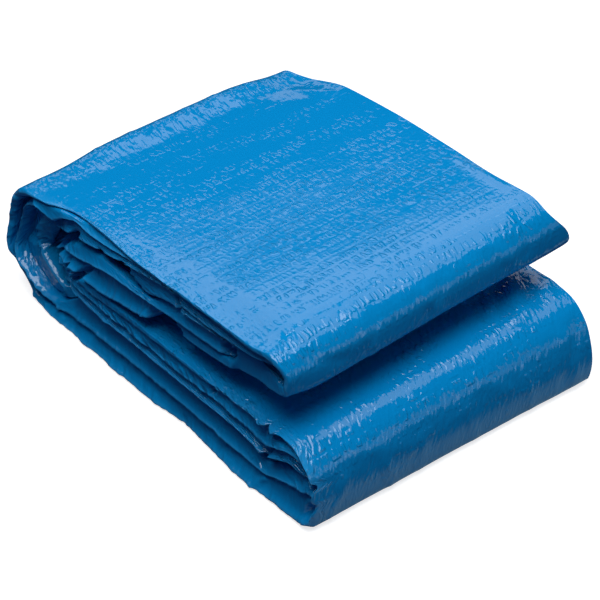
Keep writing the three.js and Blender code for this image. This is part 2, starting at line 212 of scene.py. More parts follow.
# How far each roll of the near side sticks out. Reach is the Y of its crest, lean is how far its other
# side lies back from there, and crest is where in the roll's height it sticks out most.
ROLL_COLUMNS = ("strip", "where", "reach1", "lean1", "crest1", "reach2", "lean2", "crest2",
                "reach3", "lean3", "crest3")
ROLL_ROWS = [
    ("upper_flap", 44, 2, 4.8, 0.2, 3, 5, 0.2, 9, 4, 0.2),
    ("upper_flap", 60, -4, 4.8, 0.2, -1.5, 5, 0.2, 8, 4, 0.2),
    ("upper_flap", 110, -5, 6.4, 0.15, -2, 4, 0.2, 10, 4, 0.2),
    ("upper_flap", 122, -4.5, 6.4, 0.15, -2, 4, 0.2, 12, 4, 0.2),
    ("upper_flap", 134, -4, 6.4, 0.15, -2, 4, 0.2, 0.5, 3, 0.2),
    ("upper_flap", 155, -3, 5.6, 0.15, -1.5, 4, 0.2, 0, 3, 0.2),
    ("upper_flap", 163, -2, 4.8, 0.15, -1.5, 4, 0.2, 0, 3, 0.2),
    ("upper_flap", 170, 20, 1.6, 0.2, -1, 4, 0.2, 0, 3, 0.2),
    ("upper_flap", 181, 17, 1.6, 0.2, -0.5, 4, 0.2, 0, 3, 0.2),
    ("upper_flap", 190, 2, 1.6, 0.2, 0, 4, 0.2, 0, 3, 0.2),
    ("upper_flap", 235, 1, 1.6, 0.2, 0, 4, 0.2, 0, 3, 0.2),
    ("upper_flap", 253, 1, 1.6, 0.2, 0, 4, 0.2, 1, 3, 0.2),
    ("upper_flap", 259, 3.5, 1.6, 0.1, 4, 2, 0.5, 5, 0, 0.5),
    ("upper_flap", 280, 3, 2.4, 0.1, 4, 2, 0.5, 5, 0, 0.5),
    ("place", 6, 2, 1.5, 0.2, 5, 1, 0.5, 7, 0, 0.5),
    ("place", 7, 1, 1, 0.4, 5, 1, 0.5, 7, 0, 0.5),
    ("place", 8, 2, 1, 0.5, 5, 1, 0.5, 6, 0, 0.5),
    ("place", 9, -1, 1, 0.6, 2, 1, 0.5, 3, 0, 0.5),
    ("top", 280, -3, 0.5, 0.8, -1, 3.9, 0.85, -1, 4.2, 0.85),
    ("top", 236, -2, 0.5, 0.8, 0, 5.2, 0.85, -1, 5.6, 0.85),
    ("top", 206, -1.3, 0.5, 0.8, 2, 6.5, 0.85, 0, 5.6, 0.85),
    ("top", 190, -1, 0.5, 0.8, 0, 3.9, 0.85, 0, 2.8, 0.85),
    ("top", 150, 0, 0.5, 0.8, 1, 5.2, 0.85, 0, 4.2, 0.85),
    ("top", 101, 5, 0.5, 0.8, 2, 6.5, 0.85, 1, 4.2, 0.85),
    ("top", 80, 6.7, 0.5, 0.8, 2.5, 6.5, 0.85, 1, 4.2, 0.85),
    ("top", 65, 7.2, 0.5, 0.8, 3, 2.5, 0.8, 1.2, 4, 0.85),
    ("top", 59, 6.8, 0.5, 0.8, 2, 2.2, 0.8, 2, 4, 0.85),
    ("top", 51, 4.8, 0.5, 0.8, 0.5, 2, 0.85, 1, 4, 0.85),
    ("top", 42, 2.2, 0.5, 0.8, -0.5, 2, 0.88, 2, 4, 0.85),
    ("top", 34, -0.4, 0.5, 0.8, -2, 2.4, 0.88, 3, 4, 0.85),
    ("place", 15.6, -1.4, 1, 0.4, -3, 3.5, 0.7, 3, 3, 0.6),
    ("place", 16, -1.6, 1.5, 0.4, -2, 9, 0.62, 4, 3, 0.5),
    ("place", 17, -1, 1.5, 0.4, -1, 11, 0.6, 4.5, 3, 0.5),
    ("place", 18, -1.6, 1.5, 0.4, -1, 10, 0.6, 5, 4, 0.4),
    ("place", 18.7, -3.4, 1.5, 0.4, -2, 8, 0.62, 5, 4, 0.6),
    ("place", 19.2, -5.4, 1.5, 0.5, -3, 6, 0.65, 0, 4, 0.94),
    ("place", 19.5, -5.6, 2, 0.5, -4.5, 4, 0.7, -1, 4.5, 0.94),
    ("place", 20.1, -2.5, 2, 0.5, -6, 4, 0.75, -1.5, 4.5, 0.94),
    ("place", 21, -3, 2, 0.4, -6, 4, 0.8, -1.5, 4.5, 0.94),
    ("bottom", 22, -6, 3.0, 0.2, -5, 4, 0.7, -0.5, 4, 0.9),
    ("bottom", 34, -7, 4.4, 0.15, -4.5, 5, 0.4, 1, 4, 0.5),
    ("bottom", 44, -7.5, 5.5, 0.1, -4, 5.7, 0.12, 4, 4, 0.1),
    ("bottom", 60, -8, 6.6, 0.1, -4.2, 6.6, 0.12, 7, 0, 0.5),
    ("bottom", 100, -9, 7.2, 0.1, -4.5, 6.6, 0.12, 7, 0, 0.5),
    ("bottom", 165, -9, 7.2, 0.1, -4.5, 6.6, 0.12, 7, 0, 0.5),
    ("bottom", 185, -6.5, 5.5, 0.1, -4.5, 6.6, 0.12, 7, 0, 0.5),
    ("bottom", 205, -5.2, 4.4, 0.1, -4.5, 6.6, 0.12, 7, 0, 0.5),
    ("bottom", 220, -5.4, 4.4, 0.1, -4.5, 6.6, 0.12, 7, 0, 0.5),
    ("bottom", 255, -9, 7.2, 0.1, -4.5, 6.6, 0.12, 7, 0, 0.5),
    ("bottom", 276, -9.3, 7.2, 0.1, -4, 5.7, 0.12, 7, 0, 0.5),
    ("bottom", 290, -8.3, 6.6, 0.1, -3.5, 5.7, 0.12, 7, 0, 0.5),
    ("bottom", 330, -7.5, 6.6, 0.1, -3, 4.8, 0.12, 5, 0, 0.5),
    ("place", 27, -6.5, 5, 0.2, -1, 1.5, 0.3, 4, 0, 0.5),
    ("place", 28, -3.5, 1.5, 0.5, -0.5, 1, 0.5, 3, 0, 0.5),
    ("place", 29, -2, 0.5, 0.5, 0, 0.5, 0.5, 1, 0, 0.5),
    ("place", 30, -2, 0.5, 0.8, -1, 0.5, 0.8, -1, 2, 0.85),
    ("lower_flap", 315, -2, 0.4, 0.8, -3, 4.2, 0.88, -3, 4.8, 0.88),
    ("lower_flap", 290, -2, 0.4, 0.8, -3.5, 5.1, 0.88, -4, 5.7, 0.88),
    ("lower_flap", 200, -2.5, 0.4, 0.8, -3.5, 3.4, 0.9, -4, 5.7, 0.9),
    ("lower_flap", 100, -2.5, 0.4, 0.8, -3.5, 3.4, 0.9, -4, 5.7, 0.9),
    ("lower_flap", 60, -1, 0.4, 0.8, -2, 3.4, 0.9, -2.5, 5.7, 0.9),
    ("lower_flap", 45, 3, 0.4, 0.8, 3, 3.4, 0.9, 3, 5.7, 0.9),
]
LEAN_MORE = 1.15
ROLL_SHELF = 4.0
ROLL_ROUND = 5.0
ROLL_ROUND_SHARE = 0.5

# The far side, one row a place. The outside layer ends there in a free edge, and the innermost one too.
# Depths are of the second layer and of the creases before and after the second of the two folds.
FAR_COLUMNS = ("at", "second", "crease1", "crease2", "edge", "reach1", "reach2", "inner")
FAR_ROWS = [
    (0, 0.2, 0.52, 0.86, 248, 246, 243, 240),
    (3, 0.2, 0.52, 0.88, 246, 250, 247, 243),
    (5, 0.22, 0.54, 0.88, 250, 249, 246, 243),
    (7, 0.2, 0.52, 0.86, 266, 252, 248, 244),
    (9, 0.2, 0.52, 0.86, 250, 248, 246, 243),
    (11, 0.2, 0.54, 0.88, 249, 253, 249, 244),
    (12, 0.2, 0.54, 0.88, 256, 254, 249, 244),
    (13, 0.22, 0.56, 0.88, 262, 256, 252, 247),
    (14, 0.22, 0.56, 0.88, 264, 256, 252, 247),
    (15, 0.22, 0.54, 0.86, 260, 255, 249, 244),
    (16, 0.22, 0.54, 0.86, 256, 252, 249, 244),
    (18, 0.2, 0.5, 0.84, 255, 249, 244, 240),
    (21, 0.2, 0.52, 0.86, 252, 250, 246, 242),
    (24, 0.24, 0.58, 0.9, 252, 256, 253, 249),
    (26, 0.22, 0.54, 0.88, 250, 254, 251, 246),
    (28, 0.22, 0.54, 0.88, 254, 251, 248, 244),
    (30, 0.2, 0.52, 0.86, 254, 251, 248, 244),
    (33, 0.22, 0.54, 0.88, 252, 254, 251, 246),
    (35, 0.2, 0.52, 0.86, 248, 246, 243, 240),
]

NEAR_FOLD_STEPS = (18, 18, 16)
FAR_FOLD_STEPS = (6, 6)
FOLD_SQUARENESS = 0.5
NEAR_SPREAD = 0.7
FAR_ROUND = 4.0
# How wide the painted highlight along each roll's crest is to either side, in millimetres.
CREST_HIGHLIGHT_HALF_WIDTH = 1.3


def smooth(t):
    held = np.clip(t, 0.0, 1.0)
    return held * held * (3.0 - 2.0 * held)


def ramp(value, start, end):
    """A smooth step from nought at start to one at end."""
    return smooth((value - start) / (end - start))


def ease_through(keys, values, at):
    """A smooth run through values at keys that never swings past them."""
    keys = np.asarray(keys, float)
    values = np.asarray(values, float)
    gaps = np.diff(keys)
    slopes = np.diff(values) / gaps
    tangents = np.empty(len(keys))
    tangents[0] = slopes[0]
    tangents[-1] = slopes[-1]
    for i in range(1, len(keys) - 1):
        before, after = slopes[i - 1], slopes[i]
        if before * after <= 0:
            tangents[i] = 0.0
            continue
        weight_before = 2 * gaps[i] + gaps[i - 1]
        weight_after = gaps[i] + 2 * gaps[i - 1]
        tangents[i] = (weight_before + weight_after) / (weight_before / before + weight_after / after)
    at = np.asarray(at, float)
    i = np.clip(np.searchsorted(keys, at) - 1, 0, len(keys) - 2)
    span = gaps[i]
    t = np.clip((at - keys[i]) / span, 0.0, 1.0)
    start_part = (1 + 2 * t) * (1 - t) ** 2
    start_turn = t * (1 - t) ** 2
    end_part = t * t * (3 - 2 * t)
    end_turn = t * t * (t - 1)
    return (start_part * values[i] + end_part * values[i + 1]
            + span * (start_turn * tangents[i] + end_turn * tangents[i + 1]))


def named(columns, rows):
    """A table's columns by their names."""
    table = {}
    for name, values in zip(columns, zip(*rows)):
        table[name] = values if isinstance(values[0], str) else np.array(values, float)
    return table


def rows_of(columns, rows):
    """Each row of a table, with its values under the names of the columns."""
    row_type = namedtuple("row_type", columns)
    return [row_type(*row) for row in rows]


def lattice(seed, size=64):
    return np.random.RandomState(seed).uniform(-1.0, 1.0, (size, size))


def soft_noise(u, v, seed):
    """Smooth random hills between -1 and 1, about one a unit."""
    grid = lattice(seed)
    size = len(grid)
    i = np.floor(u).astype(int)
    j = np.floor(v).astype(int)
    fu = u - i
    fv = v - j
    fu = fu ** 3 * (fu * (fu * 6 - 15) + 10)
    fv = fv ** 3 * (fv * (fv * 6 - 15) + 10)
    low = grid[i % size, j % size] * (1 - fu) + grid[(i + 1) % size, j % size] * fu
    high = grid[i % size, (j + 1) % size] * (1 - fu) + grid[(i + 1) % size, (j + 1) % size] * fu
    return low * (1 - fv) + high * fv


# How far apart the places are from which the crumpled noise takes its shifts, and how fine those are.
SHIFT_FINENESS = 0.9
SHIFT_U_AWAY = (7.3, 1.7)
SHIFT_V_AWAY = (3.1, 9.2)


def crumpled_noise(u, v, seed, warp=0.35):
    """Flat facets that meet in sharp creases, as in crumpled film, between -1 and 1."""
    grid = lattice(seed)
    size = len(grid)
    fine_u = u * SHIFT_FINENESS
    fine_v = v * SHIFT_FINENESS
    shifted_u = u + warp * soft_noise(fine_u + SHIFT_U_AWAY[0], fine_v + SHIFT_U_AWAY[1], seed + 1)
    shifted_v = v + warp * soft_noise(fine_u + SHIFT_V_AWAY[0], fine_v + SHIFT_V_AWAY[1], seed + 2)
    i = np.floor(shifted_u).astype(int)
    j = np.floor(shifted_v).astype(int)
    fu = shifted_u - i
    fv = shifted_v - j
    here = grid[i % size, j % size]
    along = grid[(i + 1) % size, j % size]
    across = grid[i % size, (j + 1) % size]
    beyond = grid[(i + 1) % size, (j + 1) % size]
    lower = here + (along - here) * fu + (across - here) * fv
    upper = beyond + (across - beyond) * (1 - fu) + (along - beyond) * (1 - fv)
    return np.where(fu + fv < 1, lower, upper)


path = named(PATH_COLUMNS, PATH_ROWS)
path_steps = np.hypot(np.diff(path["outer_x"]), np.diff(path["outer_z"]))
path_distances = np.concatenate([[0.0], np.cumsum(path_steps)])


def distance_at(place):
    return np.interp(place, np.arange(len(path_distances)), path_distances)


def along_path(name, distance):
    return ease_through(path_distances, path[name], distance)


def side_table(columns, rows, distance):
    table = named(columns, rows)
    keys = distance_at(table["at"])
    return {name: ease_through(keys, table[name], distance) for name in columns[1:]}


def distance_on(strip, where):
    """How far along the path a place of it is, or a place in X on one of its strips."""
    if strip == "place":
        return float(distance_at(where))
    first, last = STRIPS[strip]
    x = path["outer_x"][first:last + 1]
    at = path_distances[first:last + 1]
    if x[0] > x[-1]:
        x, at = x[::-1], at[::-1]
    return float(np.interp(where, x, at))


def sides_at(distance):
    """X and Z of the strip's outside face and of its innermost layer."""
    return [along_path(name, distance) for name in PATH_COLUMNS[:4]]


def strip_distances(table):
    return np.array([distance_on(strip, where) for strip, where in zip(table["strip"], table["where"])])


def crease_depths(distance):
    """The near side's creases as parts of the strip's thickness, eased along the path."""
    table = named(CREASE_COLUMNS, CREASE_ROWS)
    keys = strip_distances(table)
    outer_x, outer_z, inner_x, inner_z = sides_at(keys)
    thickness = np.hypot(inner_x - outer_x, inner_z - outer_z)
    on_bend = np.array([strip == "place" for strip in table["strip"]])
    depths = {}
    for name in CREASE_COLUMNS[2:]:
        values = table[name]
        shares = np.where(on_bend, values / thickness, (values - outer_z) / (inner_z - outer_z))
        depths[name] = ease_through(keys, shares, distance)
    return depths


def roll_shapes(distance):
    table = named(ROLL_COLUMNS, ROLL_ROWS)
    keys = strip_distances(table)
    return {name: ease_through(keys, table[name], distance) for name in ROLL_COLUMNS[2:]}


def row_distances():
    distances = []
    for i, length in enumerate(np.diff(path_distances)):
        steps = 2 * max(1, int(round(length / path["row_step"][i] / 2)))
        distances.extend(path_distances[i] + length * np.arange(steps) / steps)
    distances.append(path_distances[-1])
    return np.array(distances)


# Y of the mesh's columns across the outside layer and the inner ones. Only every second row of the mesh
# has points beyond FINE_REACH.
FINE_REACH = 21.0
OUTSIDE_FAR_COLUMN = 242.0
OUTSIDE_COLUMN_STEP = 3.6
OUTSIDE_EDGE_PARTS = (1.0, 0.8, 0.6, 0.4, 0.2)
OUTSIDE_NEAR_COLUMNS = (20.0, 16.5, 13.5, 11.0, 8.5)
INNER_FAR_COLUMNS = (240.0, 226.0, 150.0, 70.0, 34.0)
INNER_NEAR_COLUMNS = (20.0, 15.0, 11.5)


class Sheet:
    """The cloth's middle surface as a grid, with a row a slice of the path and a column a place across."""

    def __init__(self, distance):
        self.distance = distance
        self.outer_x, self.outer_z, self.inner_x, self.inner_z = sides_at(distance)
        self.thickness = np.hypot(self.inner_x - self.outer_x, self.inner_z - self.outer_z)
        self.rolls = roll_shapes(distance)
        self.far = side_table(FAR_COLUMNS, FAR_ROWS, distance)
        near = crease_depths(distance)
        far = self.far
        half = PAIR_GAP / 2 / self.thickness
        quarter = half * 0.5
        self.near_depth = [near["outside"], near["crease1"] - quarter, near["crease1"] + quarter,
                           near["crease2"] - quarter, near["crease2"] + quarter, near["inside"]]
        self.far_depth = [np.zeros_like(half), far["second"], far["crease1"] - half, far["crease1"] + half,
                          far["crease2"] - half, far["crease2"] + half]
        self.columns = []
        self.lay()

    def depth_at(self, layer, y):
        middle = INNERMOST * layer / (LAYERS - 1)
        near_part = 1 - smooth(y / SIDE_BLEND)
        far_part = smooth((y - WIDTH + SIDE_BLEND) / SIDE_BLEND)
        return (middle + (self.near_depth[layer] - middle) * near_part
                + (self.far_depth[layer] - middle) * far_part)

    def add(self, depth, y, layer, fine, crest=0.0, side=0.0):
        ones = np.ones_like(self.distance)
        self.columns.append([value * ones for value in (depth, y, layer, crest, side, fine)])

    def across(self, layer, places):
        for y in places:
            self.add(self.depth_at(layer, y), y, layer, y < FINE_REACH)

    def near_roll(self, roll):
        layer = 2 * roll
        start = self.depth_at(layer, 0.0)
        end = self.depth_at(layer + 1, 0.0)
        height = np.abs(end - start) * self.thickness
        reach = self.rolls["reach%d" % (roll + 1)]
        lean = self.rolls["lean%d" % (roll + 1)]
        crest = self.rolls["crest%d" % (roll + 1)]
        round_size = np.minimum(ROLL_ROUND, ROLL_ROUND_SHARE * height)
        steps = NEAR_FOLD_STEPS[roll]
        for i in range(steps + 1):
            angle = math.pi * i / steps
            cosine = math.cos(angle)
            lift = math.copysign(abs(cosine) ** NEAR_SPREAD, cosine)
            out = abs(math.sin(angle)) ** FOLD_SQUARENESS
            part = (1 - lift) / 2
            back = np.abs(part - crest) * height
            y = reach + lean * LEAN_MORE * (1 - np.exp(-back / ROLL_SHELF)) + round_size * (1 - out)
            # How near the point lies to the roll's crest: the material paints a highlight along there.
            line = np.exp(-(back / CREST_HIGHLIGHT_HALF_WIDTH) ** 2)
            self.add(start + (end - start) * part, y, layer + i / steps, True, crest=line, side=-1)

    def far_fold(self, layer, reach, steps):
        start = self.depth_at(layer, WIDTH)
        end = self.depth_at(layer + 1, WIDTH)
        for i in range(steps + 1):
            angle = math.pi * i / steps
            cosine = math.cos(angle)
            lift = math.copysign(abs(cosine) ** FOLD_SQUARENESS, cosine)
            out = abs(math.sin(angle)) ** FOLD_SQUARENESS
            y = reach - FAR_ROUND * (1 - out)
            self.add(start + (end - start) * (1 - lift) / 2, y, layer + i / steps, False, side=1)

    def lay(self):
        """The columns in the order in which the cloth runs, from its outside edge to its innermost one."""
        outside = np.arange(OUTSIDE_FAR_COLUMN, FINE_REACH + 1, -OUTSIDE_COLUMN_STEP)
        far_reach = [self.far["reach1"], self.far["reach2"]]
        edge = self.far["edge"]
        for part in OUTSIDE_EDGE_PARTS:
            self.add(0.0, outside[0] + (edge - outside[0]) * part, 0, False, side=1.0)
        self.across(0, outside)
        self.across(0, OUTSIDE_NEAR_COLUMNS)
        for roll in range(LAYERS // 2):
            layer = 2 * roll
            self.near_roll(roll)
            self.across(layer + 1, INNER_NEAR_COLUMNS[::-1])
            self.across(layer + 1, INNER_FAR_COLUMNS[::-1])
            if roll == LAYERS // 2 - 1:
                break
            self.far_fold(layer + 1, far_reach[roll], FAR_FOLD_STEPS[roll])
            self.across(layer + 2, INNER_FAR_COLUMNS)
            self.across(layer + 2, INNER_NEAR_COLUMNS)
        self.add(self.far_depth[-1], self.far["inner"], LAYERS - 1, False, side=1.0)

    def placed(self):
        """Each point's place, its layer, its share of a crest line, along which the material paints a
        highlight, and the side that it lies on.
        """
        depth, y, layer, crest, side, fine = (np.array(part).T for part in zip(*self.columns))
        x = self.outer_x[:, None] + (self.inner_x - self.outer_x)[:, None] * depth
        z = self.outer_z[:, None] + (self.inner_z - self.outer_z)[:, None] * depth
        towards_end = ramp(x, *SKEW_X)
        skew = UPPER_SKEW * ramp(z, *UPPER_HALF_Z) + LOWER_SKEW * (1 - ramp(z, *LOWER_HALF_Z))
        z = z + FAR_RISE * ramp(z, *FAR_RISE_Z) * np.clip(y / WIDTH, 0, 1)
        shoulder = ramp(x, *SHOULDER_X) * ramp(z, *SHOULDER_Z) * ramp(y, *SHOULDER_Y)
        z = z + SHOULDER_RISE * shoulder
        x = x - SHOULDER_OUT * shoulder
        z = z - CORNER_DROOP * ramp(y, *DROOP_Y) * ramp(x, *DROOP_X) * ramp(z, *DROOP_Z)
        x = x + skew * towards_end * y / WIDTH
        return np.stack([x, y, z], -1), layer, crest, side, fine[0] > 0.5


def grid_normals(points):
    along = np.gradient(points, axis=0)
    across = np.gradient(points, axis=1)
    normals = np.cross(along, across)
    return normals / np.maximum(np.linalg.norm(normals, axis=-1, keepdims=True), 1e-9)


def cloth_lengths(points, distance):
    """How far each point lies along and across the flat cloth, in millimetres."""
    steps = np.linalg.norm(np.diff(points, axis=1), axis=-1)
    across = np.concatenate([np.zeros((len(points), 1)), np.cumsum(steps, axis=1)], axis=1)
    middle_row = across[len(points) // 2]
    along = np.repeat(distance[:, None], points.shape[1], axis=1)
    return along, np.repeat(middle_row[None, :], len(points), axis=0)


# Pockets and slits of the near side, one row each: its place in X and Z, half its length and half its
# width, how many degrees its length rises towards the free ends, and how deep it goes.
POCKET_COLUMNS = ("x", "z", "half_length", "half_width", "rise", "depth")
POCKET_ROWS = [
    (166, 74, 6, 5.5, 40, 16),
    (180, 73, 13, 3, 12, 14),
    (128, 94, 5, 4.6, 0, 12),
    (61, 82, 10, 3.4, 45, 9),
    (48, 70, 11, 2.4, 63, 8),
    (75, 59, 16, 2.4, 45, 7),
    (58, 56, 9, 2.0, 78, 6),
    (247, 93.5, 6.5, 4.6, 0, 14),
    (214, 110.5, 15, 2.8, 0, 8),
    (234, 52.5, 4.5, 2.2, 65, 7),
    (294, 55, 5, 2, 80, 8),
    (307, 56.5, 6, 3, 15, 9),
    (341, 35, 4.5, 2.2, 70, 5),
    (340, 16, 9, 3.2, 60, 4),
    (194.5, 102, 6.5, 1.7, 105, 5),
    (126, 90.5, 27, 2.2, 176, 5),
    (293, 36, 6, 2.6, 60, 4),
]

# Ridges of the near side, one row each: its two ends in X and Z, half its width and how far it stands out.
RIDGE_COLUMNS = ("x0", "z0", "x1", "z1", "half_width", "height")
RIDGE_ROWS = [
    (43, 19, 45, 7, 1.8, 2.0),
    (-12, 28, -6, 20, 2.0, 1.6),
    (-4, 24, 6, 14, 2.0, 1.8),
    (8, 22, 16, 12, 2.0, 1.6),
    (18, 16, 12, 4, 2.0, 1.6),
    (153, 69, 162, 82, 1.5, 2.2),
    (158, 71, 166, 82, 1.2, 1.6),
    (20, 72, 15, 50, 1.8, 5.0),
    (31, 76, 26, 52, 1.8, 5.5),
    (40, 80, 35, 52, 1.8, 5.5),
    (25, 73, 21, 56, 1.4, 3.0),
    (8, 62, 12, 50, 1.6, 3.0),
    (284, 54, 294, 65, 1.6, 1.8),
    (288, 64, 300, 63, 1.6, 1.6),
    (299, 51, 301, 60, 1.6, 2.0),
    (278, 52, 286, 58, 1.6, 1.4),
    (254, 85, 257, 101, 1.4, 2.2),
    (280, -2, 292, 12, 2.0, 2.2),
    (98, 32, 110, 37, 1.4, 1.4),
    (236, 50, 240, 56, 1.4, 1.2),
    (116, 50, 116, 42, 1.4, 0.9),
    (45, 50, 60, 60, 2.0, 1.8),
    (48, 62, 44, 50, 2.0, 2.0),
    (62, 50, 72, 54, 1.6, 1.4),
]

# Where the near side is crumpled most: a place in X and Z, how far that reaches, and how rough it is.
CRUMPLE_COLUMNS = ("x", "z", "half_x", "half_z", "height")
CRUMPLE_ROWS = [
    (-20, 28, 6, 9, 0.7),
    (-12, 70, 12, 36, 1.1),
    (54, 60, 13, 14, 1.6),
    (20, 32, 28, 20, -1.2),
    (40, 98, 26, 10, -0.4),
    (120, 68, 46, 9, 0.7),
    (150, 47, 90, 6, 1.1),
    (275, 52, 36, 8, 1.2),
    (250, 64, 50, 6, 0.7),
    (160, 0, 190, 6, 1.3),
    (170, 14, 170, 4, 0.6),
    (170, 24, 170, 3, -0.2),
    (325, 35, 18, 30, 0.5),
]
CRUMPLE_EVERYWHERE = 0.3

# Creases across the outside layer, one row each: its two ends, half its width and how high it stands.
# Below nought it is a trough. The second end is on the same strip.
CREASE_LINE_COLUMNS = ("strip", "where0", "y0", "where1", "y1", "half_width", "height")
CREASE_LINES = [
    ("place", 8.4, 20, 7.2, 60, 3.5, -1.0),
    ("place", 9.3, 66, 6.8, 78, 3.0, 1.3),
    ("place", 8.8, 82, 7.0, 72, 3.0, -1.4),
    ("place", 9.0, 118, 7.2, 138, 3.5, 1.1),
    ("place", 8.8, 150, 7.2, 128, 4.0, -0.9),
    ("place", 9.0, 190, 7.4, 212, 4.0, 0.9),
    ("place", 9.4, 230, 7.6, 222, 4.0, -1.0),
    ("lower_flap", 310, 240, 319, 204, 2.6, 2.0),
    ("lower_flap", 319, 204, 316, 200, 2.8, 1.4),
    ("lower_flap", 286, 228, 312, 214, 3.0, 1.8),
    ("lower_flap", 288, 240, 314, 228, 4.0, -2.2),
    ("lower_flap", 286, 216, 308, 202, 4.0, -2.2),
    ("lower_flap", 286, 196, 304, 186, 4.0, -1.6),
    ("place", 28.6, 28, 27.2, 12, 3.0, 1.3),
    ("place", 28.4, 62, 27.1, 66, 3.5, 1.0),
    ("place", 28.6, 96, 27.2, 92, 3.5, 1.0),
    ("place", 28.8, 134, 27.2, 142, 3.5, 0.9),
    ("place", 28.7, 190, 27.2, 196, 3.5, 1.1),
    ("place", 29.2, 232, 27.3, 238, 4.0, 1.2),
    ("place", 29.6, 246, 27.6, 226, 4.0, -1.2),
    ("place", 29.5, 150, 28.4, 176, 4.0, 0.8),
    ("place", 29.6, 30, 28.3, 90, 4.5, 0.8),
    ("lower_flap", 304, 250, 316, 240, 4.0, 1.6),
    ("top", 266, 244, 205, 247, 3.0, 1.2),
    ("top", 60, 252, 30, 236, 3.5, 0.8),
    ("place", 15.3, 225, 16.2, 215, 4.0, 0.8),
    ("place", 15.3, 190, 16.4, 184, 4.0, 0.7),
    ("place", 15.2, 150, 16.3, 156, 4.0, 0.8),
    ("place", 15.3, 110, 16.5, 104, 4.0, 0.7),
    ("place", 15.2, 60, 16.4, 72, 4.0, 0.8),
]

# How a crease fades to its sides, how far past a pocket's rim its slope starts and how wide that slope is,
# and how sharply a crumpled place ends.
LINE_EDGE_POWER = 1.5
POCKET_RIM = 1.35
POCKET_SLOPE = 0.6
CRUMPLE_EDGE_POWER = 4

# The crumples' coarse and fine facets: how high they stand, how long and tall each is, where in the noise
# they are taken from, and the seed.
FACET_COLUMNS = ("height", "length", "tall", "away_x", "away_z", "seed")
FACET_ROWS = [
    (0.7, 12, 8, 3.7, 2.3, 21),
    (0.45, 5.5, 4.5, 1.9, 5.1, 31),
]
FACET_WARP = 0.5

# The outside layer's soft hills and its crinkles: how high, how long, how wide, and the seed.
HILL_COLUMNS = ("height", "length", "width", "seed")
HILL_ROWS = [(0.6, 70, 60, 11), (0.25, 27, 24, 12)]
CRINKLE_HEIGHT = 0.1
CRINKLE_LENGTH = 9
CRINKLE_WIDTH = 8
CRINKLE_SEED = 13

# From where to where a share grows from nought to one: off the floor, in from the near edge, out towards
# the near side, and onto the top from below, from the left and from the free ends.
RESTING_Z = (0.8, 5.8)
INWARD_Y = (0, 20)
NEAR_PART_Y = (10, 30)
TOP_Z = (90, 98)
TOP_LEFT_X = (8, 28)
TOP_END_X = (290, 270)
TOP_CALM = 0.75


def line_share(a, b, a0, b0, a1, b1, half_width):
    """One on the line between two points, falling off to either side and past its ends."""
    length = math.hypot(a1 - a0, b1 - b0)
    run_a, run_b = (a1 - a0) / length, (b1 - b0) / length
    run = (a - a0) * run_a + (b - b0) * run_b
    off = (a - a0) * run_b - (b - b0) * run_a
    beyond = np.maximum(0.0, np.maximum(-run, run - length))
    return np.exp(-(np.abs(off) / half_width) ** LINE_EDGE_POWER) * np.exp(-(beyond / half_width) ** 2)


def near_roughness(x, z):
    """How crumpled the near side is at a place in X and Z, in millimetres."""
    rough = np.full_like(x, CRUMPLE_EVERYWHERE)
    for spot in rows_of(CRUMPLE_COLUMNS, CRUMPLE_ROWS):
        off_x = ((x - spot.x) / spot.half_x) ** CRUMPLE_EDGE_POWER
        off_z = ((z - spot.z) / spot.half_z) ** CRUMPLE_EDGE_POWER
        rough += spot.height * np.exp(-off_x - off_z)
    return np.maximum(rough, 0.0)


def near_relief(x, z):
    """How far the near side stands out at a place in X and Z. Below nought it is sunk."""
    relief = np.zeros_like(x)
    for pocket in rows_of(POCKET_COLUMNS, POCKET_ROWS):
        turn = math.radians(pocket.rise)
        run = (x - pocket.x) * math.cos(turn) + (z - pocket.z) * math.sin(turn)
        off = (z - pocket.z) * math.cos(turn) - (x - pocket.x) * math.sin(turn)
        share = POCKET_RIM - np.hypot(run / pocket.half_length, off / pocket.half_width)
        relief -= pocket.depth * smooth(share / POCKET_SLOPE)
    for ridge in rows_of(RIDGE_COLUMNS, RIDGE_ROWS):
        relief += ridge.height * line_share(x, z, ridge.x0, ridge.z0, ridge.x1, ridge.z1, ridge.half_width)
    crumple = 0.0
    for facet in rows_of(FACET_COLUMNS, FACET_ROWS):
        crumple += facet.height * crumpled_noise(x / facet.length + facet.away_x,
                                                 z / facet.tall + facet.away_z, facet.seed, FACET_WARP)
    return relief + near_roughness(x, z) * crumple


def outside_creases(along, y):
    lift = np.zeros_like(along)
    for line in rows_of(CREASE_LINE_COLUMNS, CREASE_LINES):
        start = distance_on(line.strip, line.where0)
        end = distance_on(line.strip, line.where1)
        lift += line.height * line_share(along, y, start, line.y0, end, line.y1, line.half_width)
    return lift


def wrinkled(points, layer, side, distance):
    """The laid sheet with its soft unevenness, its creases, and its crumpled folds on the near side."""
    normals = grid_normals(points)
    along = np.repeat(distance[:, None], points.shape[1], axis=1)
    x, y, z = points[..., 0], points[..., 1], points[..., 2]
    on_outside = np.clip(1 - 2 * layer, 0, 1)
    uneven = 0.0
    for hill in rows_of(HILL_COLUMNS, HILL_ROWS):
        uneven += hill.height * soft_noise(along / hill.length, y / hill.width, hill.seed)
    uneven += CRINKLE_HEIGHT * crumpled_noise(along / CRINKLE_LENGTH, y / CRINKLE_WIDTH, CRINKLE_SEED)
    on_top = ramp(z, *TOP_Z) * ramp(x, *TOP_LEFT_X) * ramp(x, *TOP_END_X)
    uneven = uneven * ramp(y, *INWARD_Y) * (1 - TOP_CALM * on_top)
    lift = on_outside * ramp(z, *RESTING_Z) * (uneven + outside_creases(along, y))
    points = points + normals * lift[..., None]
    points[..., 1] -= near_relief(x, z) * (1 - ramp(y, *NEAR_PART_Y)) * (side <= 0)
    points[..., 2] = np.maximum(points[..., 2], FLOOR_CLEARANCE)
    return points


